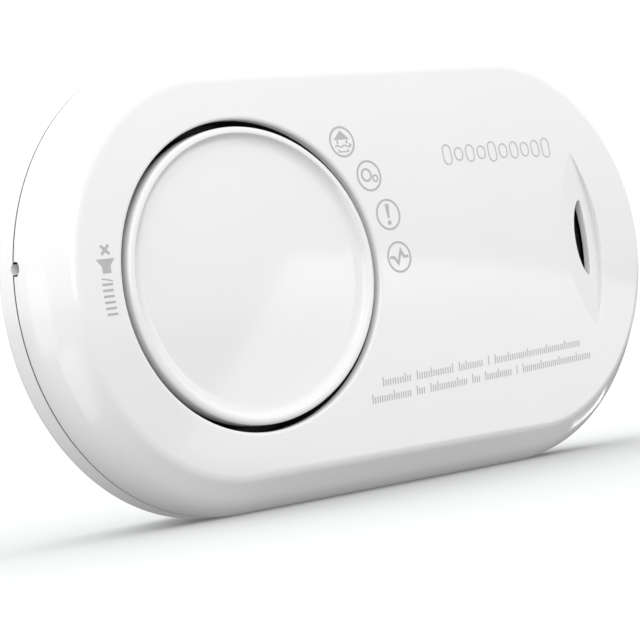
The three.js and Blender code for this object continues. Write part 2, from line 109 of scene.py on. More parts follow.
SCOOP = {"x": 17.5, "z": -0.75, "radius": 29.2, "start": 37.5, "slope": 0.168}
SLOT = {"x": 43.4, "z": -0.1, "half": 6.2, "left": 2.5, "right": 0.7}
PIN_HOLE = {"z": 5.0, "depth": 11.5, "radius": 1.05}
ICON_RING = 26.9
ICON_ANGLES = (42.6, 28.3, 14.3, 0.2)

SWITCH = (BUTTON_X - 17.4, 2.4)      # middle and half width of the switch below the button

SHIFT = (0.0019, -0.0103)            # of the camera, in widths of the picture
ORIGIN = np.array([0, FACE_Y, MID_Z])      # of the case's own frame, in metres

ARC_COLUMNS = 128                    # columns of quads round each end of an outline
LINE_COLUMNS = 56                    # columns along each straight


# ---------------- mesh helpers
def crown(x, z):
    return CROWN[0] * x * x + CROWN[1] * z * z


def scoop_floor(x):
    return crown(SCOOP["start"], 0) + SCOOP["slope"] * (x - SCOOP["start"])


def case_to_row(points):
    return np.asarray(points, float) * MM + ORIGIN


def outline(shape, inset=0.0):
    """A stadium with elliptical ends, as points in x and z."""
    straight, end, half = shape
    a = np.linspace(-math.pi / 2, math.pi / 2, ARC_COLUMNS, endpoint=False)
    t = np.linspace(0, 1, LINE_COLUMNS, endpoint=False)
    right = np.c_[straight + (end - inset) * np.cos(a), (half - inset) * np.sin(a)]
    top = np.c_[straight * (1 - 2 * t), np.full(LINE_COLUMNS, half - inset)]
    return np.vstack([right, top, -right, -top])


def at(flat, depth):
    """Lifts points in x and z to a depth, which is a number or a function of x and z."""
    y = depth(flat[:, 0], flat[:, 1]) if callable(depth) else np.full(len(flat), float(depth))
    return np.c_[flat[:, 0], y, flat[:, 1]]


def side_row(inset, depth):
    """The side wall's outline at a depth, moved inwards."""
    return at(outline(SIDE, inset), depth)


def toward(a, b, distance):
    step = b - a
    return a + step * (distance / np.linalg.norm(step, axis=1))[:, None]


def bend(start, corner, end, steps):
    """Rows of a rounded corner, from start to end, both kept."""
    return [start * (1 - s) ** 2 + corner * (2 * s * (1 - s)) + end * s * s
            for s in np.linspace(0, 1, steps + 1)]


def rounded(a, corner, b, reach, steps):
    return bend(toward(corner, a, reach), corner, toward(corner, b, reach), steps)


def circle(x, z, radius, count=256):
    a = np.linspace(0, 2 * math.pi, count, endpoint=False)
    return np.c_[x + radius * np.cos(a), z + radius * np.sin(a)]


def offset(flat, distance):
    """A closed outline moved outwards by distance, square to itself."""
    along = np.roll(flat, -1, 0) - np.roll(flat, 1, 0)
    normal = np.c_[along[:, 1], -along[:, 0]] / np.linalg.norm(along, axis=1)[:, None]
    area = np.sum(flat[:, 0] * np.roll(flat[:, 1], -1) - np.roll(flat[:, 0], -1) * flat[:, 1])
    return flat + normal * (distance if area > 0 else -distance)


def rounded_box(x0, x1, z0, z1, radius, steps):
    corners = [(x1 - radius, z1 - radius, 0), (x0 + radius, z1 - radius, 1),
               (x0 + radius, z0 + radius, 2), (x1 - radius, z0 + radius, 3)]
    points = []
    for x, z, quarter in corners:
        for i in range(steps + 1):
            a = (quarter + i / steps) * math.pi / 2
            points.append((x + radius * math.cos(a), z + radius * math.sin(a)))
    return np.array(points)


def link(name, data):
    """A new object with that data, in the scene."""
    obj = bpy.data.objects.new(name, data)
    bpy.context.scene.collection.objects.link(obj)
    return obj


def build(name, points, faces, weld=False):
    mesh = bpy.data.meshes.new(name)
    mesh.from_pydata(case_to_row(points).tolist(), [], faces)
    tidy = bmesh.new()
    tidy.from_mesh(mesh)
    if weld:
        bmesh.ops.remove_doubles(tidy, verts=tidy.verts, dist=1e-7)
    bmesh.ops.recalc_face_normals(tidy, faces=tidy.faces)
    tidy.to_mesh(mesh)
    tidy.free()
    return link(name, mesh)


def loft(name, rows, ring=False):
    """A closed solid through rows of points: ring joins the last row to the first, or both get a cap."""
    n = len(rows[0])
    faces = []
    for r in range(len(rows) if ring else len(rows) - 1):
        a, b = r * n, (r + 1) % len(rows) * n
        faces += [(a + i, a + (i + 1) % n, b + (i + 1) % n, b + i) for i in range(n)]
    if not ring:
        faces.append(tuple(range(n)))
        faces.append(tuple(range((len(rows) - 1) * n, len(rows) * n)))
    return build(name, np.vstack(rows), faces)


def slab(name, flat, front, back, edge_front=0.0, edge_back=0.0):
    """A plate of that outline, with rounded edges where a radius is given; a negative one flares."""
    rows, steps = [], 4
    for depth, edge, inwards in ((front, edge_front, 1), (back, edge_back, -1)):
        if not edge:
            rows.append(at(flat, depth))
            continue
        for a in np.linspace(0, math.pi / 2, steps + 1)[::inwards]:
            drop = inwards * abs(edge) * (1 - math.cos(a))
            rows.append(at(offset(flat, -edge * (1 - math.sin(a))), depth + drop))
    return loft(name, rows)


def place(centre, axis, along, across, third):
    """Points with the first coordinate along x or y from the centre, and the others square to it."""
    x, depth, z = centre
    if axis == "x":
        return np.c_[x + along, depth + across, z + third]
    return np.c_[x + across, depth + along, z + third]


def turned(name, centre, profile, axis="y", sides=64, ring=False):
    """A solid of revolution; the profile gives distance along the axis and radius, in order."""
    a = np.linspace(0, 2 * math.pi, sides, endpoint=False)
    rows = [place(centre, axis, np.full(sides, float(along)), radius * np.cos(a), radius * np.sin(a))
            for along, radius in profile]
    return loft(name, rows, ring)


def coil(name, start, axis, direction, radii, wire, length, turns):
    """A compression spring of round wire whose end turns lie flat."""
    per_turn, sides = 30, 10
    turn_at = np.linspace(0, turns, int(turns * per_turn) + 1)
    middle = [0, 1, turns - 1, turns]
    rise = np.interp(turn_at, middle, [wire, 3 * wire, length - 3 * wire, length - wire])
    radius = radii[0] + (radii[1] - radii[0]) * turn_at / turns
    a = 2 * math.pi * turn_at
    path = np.c_[rise * direction, radius * np.cos(a), radius * np.sin(a)]
    out = np.c_[np.zeros(len(a)), np.cos(a), np.sin(a)]
    along = np.gradient(path, axis=0)
    side = np.cross(along, out)
    side /= np.linalg.norm(side, axis=1)[:, None]
    around = np.linspace(0, 2 * math.pi, sides, endpoint=False)
    rows = []
    for point, u, v in zip(path, out, side):
        section = point + wire * (np.cos(around)[:, None] * u + np.sin(around)[:, None] * v)
        rows.append(place(start, axis, *section.T))
    obj = loft(name, rows)
    smooth(obj, 50)
    return obj


def evaluated(obj):
    """A new mesh with the object's modifiers or curve settings applied."""
    graph = bpy.context.evaluated_depsgraph_get()
    return bpy.data.meshes.new_from_object(obj.evaluated_get(graph))


def combine(target, other, operation="DIFFERENCE"):
    """Applies one boolean and removes the other solid."""
    step = target.modifiers.new("combine", "BOOLEAN")
    step.operation, step.solver, step.object = operation, "EXACT", other
    mesh = evaluated(target)
    target.modifiers.remove(step)
    old = target.data
    target.data = mesh
    mesh.name = target.name
    bpy.data.meshes.remove(old)
    bpy.data.objects.remove(other)
    return target


def smooth(obj, angle):
    obj.data.shade_smooth()
    obj.data.set_sharp_from_angle(angle=math.radians(angle))


def weighted(obj):
    """Smooth shading in which large flat faces stay flat."""
    smooth(obj, 30)
    step = obj.modifiers.new("weighted", "WEIGHTED_NORMAL")
    step.keep_sharp = True


def hand_over(obj, body, slot, material, *nodes):
    """Material, body and the CAD nodes that the piece stands for; the slot is not used."""
    obj.data.materials.clear()
    for one in material if isinstance(material, tuple) else (material,):
        obj.data.materials.append(one)
    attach(obj, body)
    if nodes:
        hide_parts(*nodes)


# ---------------- materials
def shader(name, colour, roughness, **sockets):
    """A principled material; further sockets are named with _ for a space."""
    material = bpy.data.materials.new(name)
    material.use_nodes = True
    bsdf = material.node_tree.nodes["Principled BSDF"]
    for socket, value in {"Base_Color": (*colour, 1), "Roughness": roughness, **sockets}.items():
        bsdf.inputs[socket.replace("_", " ")].default_value = value
    return material, material.node_tree, bsdf


def add_node(tree, kind, inputs, output, **settings):
    """Adds a node, fills its inputs with values or other nodes' outputs, and gives one output."""
    made = tree.nodes.new("ShaderNode" + kind)
    for key, value in settings.items():
        setattr(made, key, value)
    for key, value in inputs.items():
        if isinstance(value, bpy.types.NodeSocket):
            tree.links.new(value, made.inputs[key])
        else:
            made.inputs[key].default_value = value
    return made.outputs[output]


def object_place(tree):
    return add_node(tree, "TexCoord", {}, "Object")


def noise(tree, scale, detail, stretch=(1, 1, 1)):
    place_at = add_node(tree, "Mapping", {"Vector": object_place(tree), "Scale": stretch}, "Vector")
    return add_node(tree, "TexNoise", {"Vector": place_at, "Scale": scale, "Detail": detail}, "Fac")


def stretched(tree, source, span, target=(0.0, 1.0)):
    """Maps the first span of a value to the second one."""
    limits = {"From Min": span[0], "From Max": span[1], "To Min": target[0], "To Max": target[1]}
    return add_node(tree, "MapRange", {"Value": source, **limits}, "Result")


def ramp(tree, source, stops, interpolation="LINEAR"):
    """Colours by position along a 0 to 1 pattern."""
    colours = add_node(tree, "ValToRGB", {"Fac": source}, "Color")
    scale = colours.node.color_ramp
    scale.interpolation = interpolation
    scale.elements.remove(scale.elements[1])
    for i, (position, colour) in enumerate(stops):
        stop = scale.elements.new(position) if i else scale.elements[0]
        stop.position, stop.color = position, (*colour, 1)
    return colours


def vary(bsdf, socket, source, low, high):
    """Feeds a socket with a 0 to 1 pattern mapped to low to high, numbers or colours."""
    tree, start, end = bsdf.id_data, 0.3, 0.7
    if isinstance(low, tuple):
        mapped = ramp(tree, source, ((start, low), (end, high)))
    else:
        mapped = stretched(tree, source, (start, end), (low, high))
    tree.links.new(mapped, bsdf.inputs[socket])


def bump(tree, bsdf, source, strength, distance, under=None):
    inputs = {"Strength": strength, "Distance": distance, "Height": source}
    if under:
        inputs["Normal"] = under
    normal = add_node(tree, "Bump", inputs, "Normal")
    tree.links.new(normal, bsdf.inputs["Normal"])
    return normal


def moulded(name, colour, roughness, grain=0.0, peel=0.0, spread=0.03):
    """Moulded plastic: slight flow tone, uneven gloss, a faint orange peel and a fine grain."""
    material, tree, bsdf = shader(name, colour, roughness, IOR=1.5)
    tint = tuple(c * 0.985 for c in colour)
    vary(bsdf, "Base Color", noise(tree, 55, 3), tint, colour)
    vary(bsdf, "Roughness", noise(tree, 210, 4), roughness - spread, roughness + spread)
    under = bump(tree, bsdf, noise(tree, 420, 1), peel, 0.0002) if peel else None
    if grain:
        bump(tree, bsdf, noise(tree, 5200, 3), grain, 0.00006, under)
    return material


def metal(name, colour, roughness, stretch=(1, 1, 1)):
    """Plated or rolled metal; a small stretch along an axis draws the grain out that way."""
    material, tree, bsdf = shader(name, colour, roughness, Metallic=1.0)
    pattern = noise(tree, 1800, 3, stretch)
    vary(bsdf, "Base Color", pattern, tuple(c * 0.86 for c in colour), colour)
    vary(bsdf, "Roughness", noise(tree, 260, 3), roughness * 0.8, min(1.0, roughness * 1.25))
    bump(tree, bsdf, pattern, 0.15, 0.00004)
    return material


def cell_wrap(name, along):
    """Printed sleeve of a cell: a dark body with a copper-coloured band at its nub end."""
    material, tree, bsdf = shader(name, (0.02, 0.03, 0.05), 0.28, Coat_Weight=0.4, Coat_Roughness=0.08)
    lengthwise = add_node(tree, "SeparateXYZ", {"Vector": object_place(tree)}, "X")
    reach = 0.026 * along
    stops = ((0.0, (0.025, 0.035, 0.055)), (0.66, (0.55, 0.55, 0.53)), (0.68, (0.62, 0.28, 0.09)))
    colours = ramp(tree, stretched(tree, lengthwise, (-reach, reach)), stops, "CONSTANT")
    tree.links.new(colours, bsdf.inputs["Base Color"])
    vary(bsdf, "Roughness", noise(tree, 180, 3), 0.22, 0.34)
    return material


def threads(tree, direction, pitch):
    """Even bands across one axis, that many millimetres apart."""
    one_band = 0.314        # scale that gives this texture one band in each unit
    inputs = {"Vector": object_place(tree), "Scale": one_band / (pitch * MM)}
    return add_node(tree, "TexWave", inputs, "Fac", bands_direction=direction)


def woven(name, colour, pitch):
    """Fine gauze: two crossed sets of threads as bump and tone."""
    material, tree, bsdf = shader(name, colour, 0.85)
    inputs = {0: threads(tree, "X", pitch), 1: threads(tree, "Z", pitch)}
    height = add_node(tree, "Math", inputs, "Value", operation="MAXIMUM")
    vary(bsdf, "Base Color", height, tuple(c * 0.3 for c in colour), colour)
    bump(tree, bsdf, height, 0.8, 0.0001)
    return material


def circuit(name):
    """Solder mask over copper: patches of parallel tracks, upright or level, and plain ground."""
    material, tree, bsdf = shader(name, (0.01, 0.11, 0.045), 0.3)

    def sums(operation, *values):
        return add_node(tree, "Math", dict(enumerate(values)), "Value", operation=operation)

    inputs = {"Vector": object_place(tree), "Scale": 120}
    patches = add_node(tree, "TexVoronoi", inputs, "Color", distance="CHEBYCHEV")
    chance = add_node(tree, "SeparateColor", {"Color": patches}, "Red").node.outputs
    upright, level = threads(tree, "X", 0.8), threads(tree, "Z", 0.8)
    level_here = sums("GREATER_THAN", chance["Red"], 0.5)
    both = sums("MULTIPLY_ADD", level_here, sums("SUBTRACT", level, upright), upright)
    routed = sums("GREATER_THAN", chance["Green"], 0.4)
    copper = sums("MULTIPLY", routed, sums("GREATER_THAN", both, 0.72))
    vary(bsdf, "Base Color", copper, (0.008, 0.075, 0.032), (0.018, 0.145, 0.06))
    bump(tree, bsdf, copper, 0.3, 0.00004)
    return material


WHITE = (0.80, 0.80, 0.80)
white_gloss = moulded("white_gloss", WHITE, 0.10, peel=0.02)
white_satin = moulded("white_satin", WHITE, 0.07, grain=0.03, spread=0.015)
white_rear = moulded("white_rear", WHITE, 0.24, grain=0.05, peel=0.03)
white_plate = moulded("white_plate", (0.78, 0.78, 0.775), 0.36, grain=0.16)
# Black plastic of real parts; the same black also paints shade into the seam's gap, the opening's wall
# and the button's hidden wall.
black_plastic = moulded("black_plastic", (0.012, 0.012, 0.013), 0.5, grain=0.35, spread=0.06)
ink = moulded("grey_ink", (0.44, 0.44, 0.445), 0.4, grain=0.1, spread=0.05)
emblem_ink = moulded("pale_ink", (0.50, 0.50, 0.505), 0.3, grain=0.05, spread=0.05)
spring_wire = metal("spring_wire", (0.6, 0.61, 0.62), 0.25)
zinc = metal("zinc_plate", (0.58, 0.6, 0.63), 0.3)
nickel = metal("nickel_plate", (0.68, 0.66, 0.62), 0.28)
brass = metal("brass_sheet", (0.78, 0.58, 0.24), 0.3, stretch=(0.1, 1, 1))
aluminium = metal("aluminium_can", (0.8, 0.8, 0.81), 0.35, stretch=(1, 0.1, 1))
ferrite = moulded("ferrite", (0.05, 0.045, 0.043), 0.65, grain=0.5)
epoxy = moulded("chip_epoxy", (0.015, 0.015, 0.016), 0.45, grain=0.4)
nylon = moulded("natural_nylon", (0.72, 0.7, 0.62), 0.45, grain=0.1)
lamp_resin = moulded("lamp_resin", (0.75, 0.8, 0.72), 0.12)
foam = moulded("foam", (0.03, 0.03, 0.032), 0.9, grain=1.0, spread=0.05)
gauze = woven("dust_gauze", (0.03, 0.03, 0.032), 0.25)
solder_mask = circuit("solder_mask")


# ---------------- front cover
def opening_circle(radius):
    """Points on a circle round the button's centre, one for each column of the crease."""
    crease = outline(CREASE)
    ray = crease - np.array([BUTTON_X, 0])
    return np.array([BUTTON_X, 0]) + ray * (radius / np.linalg.norm(ray, axis=1))[:, None]


def front_rows():
    edge, crease_round, bevel_round, seam_round = 0.6, 0.8, 3.2, 0.14
    tongue_inset, tongue_start = 1.1, SEAM - 2      # room for the rear cover's tongue
    wall_front, face_rings, back_rings = 8.8, 46, 20

    def ring(radius, depth):
        return at(opening_circle(radius), depth)

    lip, start = ring(OPENING, crown), ring(OPENING + edge, crown)
    rows = bend(lip + np.array([0, edge, 0]), lip, start, 6)
    inner = outline(CREASE, crease_round)
    first = opening_circle(OPENING + edge)
    for t in np.linspace(0, 1, face_rings)[1:-1]:
        rows.append(at(first + (inner - first) * t, crown))
    crease = at(outline(CREASE), crown)
    corner = side_row(0, BEVEL_END)
    seam = side_row(0, SEAM)
    rows += bend(at(inner, crown), crease, toward(crease, corner, crease_round), 8)
    rows += rounded(crease, corner, seam, bevel_round, 12)
    rows += rounded(corner, seam, side_row(0.4, SEAM), seam_round, 2)
    rows += [side_row(tongue_inset, SEAM), side_row(tongue_inset, tongue_start)]
    rows += [side_row(WALL, tongue_start), side_row(WALL, wall_front)]
    inside, collar = outline(CREASE, 1.6), opening_circle(COLLAR[0])
    for t in np.linspace(1, 0, back_rings):
        rows.append(at(collar + (inside - collar) * t, lambda x, z: crown(x, z) + WALL + pad(x, z)))
    return rows + [at(collar, COLLAR[1]), ring(OPENING, COLLAR[1]),
                   ring(OPENING, lambda x, z: crown(x, z) + SHADOW_START)]


def pad(x, z):
    """The wall is a little thinner behind the scoop, which makes this negative."""
    r = np.clip(np.hypot((x - 44.0) / 8.5, (z + 0.5) / 14.5), 0, 1)
    return -0.08 * (1 - r * r * (3 - 2 * r))


def flared(grow, surface, edge, steps, above, end):
    """Rows of a cutter that widens to meet a surface; grow gives its outline, moved outwards."""
    rows = [at(grow(edge), lambda x, z: surface(x, z) - above)]
    for angle in np.linspace(0, math.pi / 2, steps + 1):
        drop = edge * (1 - math.cos(angle))
        rows.append(at(grow(edge * (1 - math.sin(angle))), lambda x, z: surface(x, z) + drop))
    return rows + [at(grow(0), end)]


def scoop_solid():
    """What the scoop takes away: in front of its floor and inside its arc-shaped step."""
    tip = 0.8
    a = np.linspace(-tip, tip, 160)
    left = SCOOP["x"] + SCOOP["radius"] * math.cos(tip) - 4
    reach = SCOOP["radius"] * math.sin(tip)

    def section(grow):
        radius = SCOOP["radius"] + grow
        arc = np.c_[SCOOP["x"] + radius * np.cos(a), SCOOP["z"] + radius * np.sin(a)]
        return np.vstack([arc, [[left, SCOOP["z"] + reach], [left, SCOOP["z"] - reach]]])

    step = loft("scoop_step", flared(section, crown, 0.12, 6, 1.5, 6))
    wide = rounded_box(SCOOP["start"] - 6, 56, -30, 30, 1, 10)
    above = loft("scoop_floor", [at(wide, -4), at(wide, lambda x, z: scoop_floor(x))])
    return combine(step, above, "INTERSECT")


def slot_solid():
    """The slot's cutter: a leaf that is fuller on its left, flared at the scoop's floor."""
    a = np.linspace(0, 2 * math.pi, 144, endpoint=False)
    c = np.cos(a)
    bulge = np.where(c > 0, SLOT["right"], SLOT["left"])
    leaf = np.c_[SLOT["x"] + np.sign(c) * bulge * np.abs(c) ** 1.25,
                 SLOT["z"] + SLOT["half"] * np.sin(a)]
    return loft("slot_cutter", flared(lambda out: offset(leaf, out),
                                      lambda x, z: scoop_floor(x), 0.2, 5, 1, 7))


def pin_hole_solid():
    """A short bore from the left end, with a countersunk mouth."""
    bore = PIN_HOLE["radius"]
    profile = [(-1, bore + 0.3), (0.05, bore + 0.25), (0.35, bore), (4, bore)]
    return turned("pin_hole", (-HALF_LENGTH, PIN_HOLE["depth"], PIN_HOLE["z"]), profile, "x", 48)


def read(items, name, width=3, kind=np.float32):
    """One property of all items, as rows of that many numbers."""
    values = np.empty(len(items) * width, kind)
    items.foreach_get(name, values)
    return values.reshape(-1, width)


def exact_normals(obj):
    """Face normals from the formula on the dome and the scoop's floor, and smooth ones elsewhere."""
    near, dome_angle, floor_cosine = 0.003, 14, 0.99999
    mesh = obj.data
    smooth(obj, 30)
    normals = read(mesh.corner_normals, "vector")
    vertex = read(mesh.loops, "vertex_index", 1, np.int32)[:, 0]
    x, depth, z = ((read(mesh.vertices, "co") - ORIGIN) / MM).T
    face_of = np.repeat(np.arange(len(mesh.polygons)), [p.loop_total for p in mesh.polygons])
    face_normal = read(mesh.polygons, "normal")[face_of]
    dome = np.c_[2 * CROWN[0] * x, -np.ones(len(x)), 2 * CROWN[1] * z]
    dome = (dome / np.linalg.norm(dome, axis=1)[:, None])[vertex]
    on_dome = (np.abs(depth - crown(x, z)) < near)[vertex]
    on_dome &= np.einsum("ij,ij->i", face_normal, dome) > math.cos(math.radians(dome_angle))
    normals[on_dome] = dome[on_dome]
    slope = np.array([SCOOP["slope"], -1, 0]) / math.hypot(SCOOP["slope"], 1)
    on_floor = (np.abs(depth - scoop_floor(x)) < near)[vertex]
    normals[on_floor & (face_normal @ slope > floor_cosine)] = slope
    mesh.normals_split_custom_set(normals.tolist())


def front_cover():
    obj = loft("face_shell", front_rows(), ring=True)
    combine(obj, scoop_solid())
    combine(obj, slot_solid())
    combine(obj, pin_hole_solid())
    exact_normals(obj)
    hand_over(obj, "case", "case_plastic", (white_gloss, black_plastic), "front_cover")
    # Painted shade: black on the bottom of the seam's gap and on the opening's wall deeper than
    # SHADOW_START.
    paint(obj, lambda x, depth, z: depth > SEAM - 0.05 and in_seam(x, z))
    paint(obj, lambda x, depth, z: abs(math.hypot(x - BUTTON_X, z) - OPENING) < 0.1 and
          depth > crown(x, z) + SHADOW_START)


def in_seam(x, z):
    """Whether a point is further in than the rounded edges of the seam, where the gap's faces are
    painted black as shade.
    """
    return math.hypot(max(0.0, abs(x) - SIDE[0]) * SIDE[2] / SIDE[1], z) < HALF_HEIGHT - 0.42


def paint(obj, inside, index=1):
    """Gives the faces whose middle is inside the given region the material of that index."""
    points = obj.data.vertices
    for face in obj.data.polygons:
        x, y, z = sum((points[i].co for i in face.vertices), Vector()) / len(face.vertices) / MM
        if inside(x, y - FACE_Y / MM, z - MID_Z / MM):
            face.material_index = index


# ---------------- rear cover
def rear_row(depth, inset=0.0):
    """The rear cover's outline at a depth; its ends taper towards the back."""
    return at(outline((STRIP[0] - TAPER * (depth - STRIP_DEPTH), STRIP[1], STRIP[2]), inset), depth)


def rear_rows():
    front, tongue, inner = SEAM + SEAM_GAP, 1.3, 2.2
    lip, strip = side_row(0, front), side_row(0, STRIP_DEPTH - 0.4)
    turn = rear_row(REAR_DEPTH)
    rows = [rear_row(REAR_DEPTH - WALL, 2.6), rear_row(STRIP_DEPTH, inner),
            side_row(inner, front + 1), side_row(inner, front - 1.8),
            side_row(tongue, front - 1.8), side_row(tongue, front)]
    rows += rounded(side_row(0.4, front), lip, strip, 0.12, 2)
    rows += rounded(lip, strip, turn, 0.7, 6)
    rows += [rear_row(depth) for depth in np.linspace(STRIP_DEPTH + 1, REAR_DEPTH - 3, 7)]
    return rows + bend(rear_row(REAR_DEPTH - 2.2), turn, rear_row(REAR_DEPTH, 2.2), 10)


CASE_SCREWS = ((-10, 25.5), (-10, -25.5), (28, 23.8), (28, -23.8))
DOOR = {"x": 29.8, "z": 16.0, "front": 28.7, "back": 30.5}
HOOK = {"x": 39.0, "z": 4.0, "travel": 5.0}


def rear_cover():
    obj = loft("rear_shell", rear_rows())
    for i, (x, z) in enumerate(CASE_SCREWS):
        combine(obj, slab(f"boss_{i}", circle(x, z, 3.4, 64), 13, REAR_DEPTH - 1), "UNION")
    seat = rounded_box(-49.9, -48.7, PIN_HOLE["z"] - 2, PIN_HOLE["z"] + 2, 0.3, 3)
    combine(obj, slab("seat", seat, 10.4, 26.2), "UNION")
    for i, (x, z) in enumerate(CASE_SCREWS):
        combine(obj, slab(f"bore_{i}", circle(x, z, 1.5, 40), 12, 20))
        combine(obj, slab(f"sink_{i}", circle(x, z, 2.8, 64), 18, REAR_DEPTH, edge_back=-0.35))
    doorway = rounded_box(-DOOR["x"] - 0.4, DOOR["x"] + 0.4, -DOOR["z"] - 0.4, DOOR["z"] + 1.3, 0.8, 5)
    combine(obj, slab("doorway", doorway, 28, REAR_DEPTH, edge_back=-0.25))
    pins = rounded_box(-DOOR["x"] - 1.7, DOOR["x"] + 1.7, DOOR["z"] - 0.9, DOOR["z"] + 0.9, 0.3, 3)
    combine(obj, slab("pin_slots", pins, 28, 30.35))
    notch = rounded_box(-7, 7, -20, -DOOR["z"] - 0.2, 1.8, 8)
    combine(obj, slab("finger_notch", notch, 29.7, REAR_DEPTH, edge_front=0.5, edge_back=-0.3))
    for side in (-1, 1):
        x, low, high = side * HOOK["x"], HOOK["z"] - 1.6, HOOK["z"] + HOOK["travel"] + 1.6
        stem = rounded_box(x - 1.4, x + 1.4, low, high, 0.3, 3)
        combine(obj, slab("stem_slot", stem, 27, REAR_DEPTH, edge_back=-0.2))
        head = rounded_box(x - 2.8, x + 2.8, high - 3.2, high, 0.4, 3)
        combine(obj, slab("head_slot", head, 27, REAR_DEPTH, edge_back=-0.2))
    combine(obj, pin_hole_solid())
    weighted(obj)
    hand_over(obj, "case", "case_plastic", (white_rear, black_plastic), "rear_cover")
    # Painted shade: the tongue's faces inside the seam's gap are black.
    paint(obj, lambda x, depth, z: depth < SEAM + SEAM_GAP + 0.05 and in_seam(x, z))


# ---------------- test button
def test_button():
    def rim(radius, depth):
        return at(circle(BUTTON_X, 0, radius), depth)

    dish = lambda x, z: crown(x, z) + DISH_SINK
    under = lambda x, z: dish(x, z) + DISC_THICKNESS
    foot, shoulder = rim(RIM_INNER - 0.55, dish), rim(RIM_INNER, crown)
    edge = rim(BUTTON_RADIUS, crown)
    wall = rim(BUTTON_RADIUS, lambda x, z: crown(x, z) + WALL_SHADOW)
    rows = [rim(r, dish) for r in (0.4, 2, 4, 6, 8, 10, 12, 14, 15.5, 16.8)]
    rows += bend(rim(DISH_RADIUS, dish), foot, toward(shoulder, foot, 0.35), 12)
    rows += rounded(foot, shoulder, edge, 0.15, 4)
    rows += rounded(shoulder, edge, wall, 0.6, 8)
    rows += [wall, rim(BUTTON_RADIUS, SKIRT_TOP), rim(SKIRT_FLANGE, SKIRT_TOP),
             rim(SKIRT_FLANGE, SKIRT_BOTTOM), rim(SKIRT_INNER, SKIRT_BOTTOM),
             rim(SKIRT_INNER, under)]
    rows += [rim(r, under) for r in (16, 12, 8, 4, 0.4)]
    obj = loft("button_cap", rows)
    hand_over(obj, "button", "button_plastic", (white_gloss, white_satin, black_plastic), "test_button")
    smooth(obj, 32)
    radius = lambda x, z: math.hypot(x - BUTTON_X, z)
    paint(obj, lambda x, depth, z: radius(x, z) < DISH_RADIUS - 0.1 and depth < dish(x, z) + 0.2)
    # Painted shade: the side wall and flange deeper than WALL_SHADOW are black.
    paint(obj, lambda x, depth, z: radius(x, z) > RIM_INNER and depth > crown(x, z) + WALL_SHADOW, 2)


# ---------------- wall plate and battery door
PLATE = (14.0, 29.0, 29.0)
PLATE_WINDOW = (35.0, 22.0, 12.0)    # half width, half height and corner radius
PLATE_SCREWS = {"x": 39.0, "z": -7.0, "bore": 2.1, "sink": 3.7}
ARROW = [(-1.6, 0), (0, 2.4), (1.6, 0), (0.6, 0), (0.6, -2.6), (-0.6, -2.6), (-0.6, 0)]


def wall_plate():
    obj = slab("bracket", outline(PLATE), PLATE_FRONT, PLATE_BACK, 0.4, 0.4)
    half_width, half_height, corner = PLATE_WINDOW
    window = rounded_box(-half_width, half_width, -half_height, half_height, corner, 14)
    combine(obj, slab("window", window, PLATE_FRONT, PLATE_BACK, -0.3, -0.3))
    for side in (-1, 1):
        x, z = side * PLATE_SCREWS["x"], PLATE_SCREWS["z"]
        bore, sink = PLATE_SCREWS["bore"], PLATE_SCREWS["sink"]
        profile = [(PLATE_FRONT - 0.2, sink), (PLATE_FRONT + 1.4, bore),
                   (PLATE_BACK - 0.2, bore), (PLATE_BACK + 0.1, bore + 0.3)]
        combine(obj, turned("countersink", (x, 0, z), profile))
        slot = capsule(0, side * 25.5, 5, bore)
        combine(obj, slab("plate_slot", slot, PLATE_FRONT, PLATE_BACK, -0.2, -0.2))
        arrow = np.array(ARROW) + (x, 13.5)
        combine(obj, slab("arrow", arrow, PLATE_BACK - 0.4, PLATE_BACK + 0.5))
        x, low, high = side * HOOK["x"], HOOK["z"] - 1.2, HOOK["z"] + 1.2
        stem = rounded_box(x - 1, x + 1, low, high, 0.25, 3)
        combine(obj, slab("stem", stem, 27.8, PLATE_FRONT + 0.5), "UNION")
        head = rounded_box(x - 2.4, x + 2.4, low, high, 0.3, 3)
        combine(obj, slab("head", head, 27.2, 28.3, 0.2, 0.2), "UNION")
    weighted(obj)
    hand_over(obj, "plate", "case_plastic", white_plate, "wall_plate")


def battery_door():
    x, z, front, back = (DOOR[key] for key in ("x", "z", "front", "back"))
    middle, half = (front + back) / 2, (back - front) / 2
    obj = slab("door_panel", rounded_box(-x, x, -z, z, 0.8, 6), front, back, 0.2, 0.35)
    barrel = [(-x, half - 0.2), (-x + 0.2, half), (x - 0.2, half), (x, half - 0.2)]
    combine(obj, turned("barrel", (0, middle, z), barrel, "x", 48), "UNION")
    pins = [(-x - 1.3, 0.3), (-x - 1.15, 0.45), (x + 1.15, 0.45), (x + 1.3, 0.3)]
    combine(obj, turned("pins", (0, middle, z), pins, "x", 24), "UNION")
    for low in (-13.6, -12.2, -10.8):
        rib = capsule(0, low + 0.3, 6, 0.3)
        combine(obj, slab("rib", rib, back - 0.5, back + 0.3, edge_back=0.2), "UNION")
    for side in (-1, 1):
        cell = [(-7, -2.4), (7, -2.4), (7, -0.9), (7.9, -0.9), (7.9, 0.9), (7, 0.9), (7, 2.4), (-7, 2.4)]
        mark = np.array(cell) * (side, 1) + (0, 2 + side * 3.6)
        combine(obj, slab("cell_mark", mark, back - 0.25, back + 0.5))
    weighted(obj)
    hand_over(obj, "door", "case_plastic", white_rear, "battery_door")


# ---------------- cells, springs and screws
CELL = {"radius": 7.05, "z": 7.5, "depth": 21.2, "start": -23.7, "end": 25.5, "nub": 26.8}
CONTACT_X = 28.6
BOARD_SCREWS = ((14, 22.5), (14, -22.5))
SPRING_ANGLES = (90, 210, 330)
SPRING_RING = 17.2
CATCH_DEPTH = SEAM + SEAM_GAP / 2


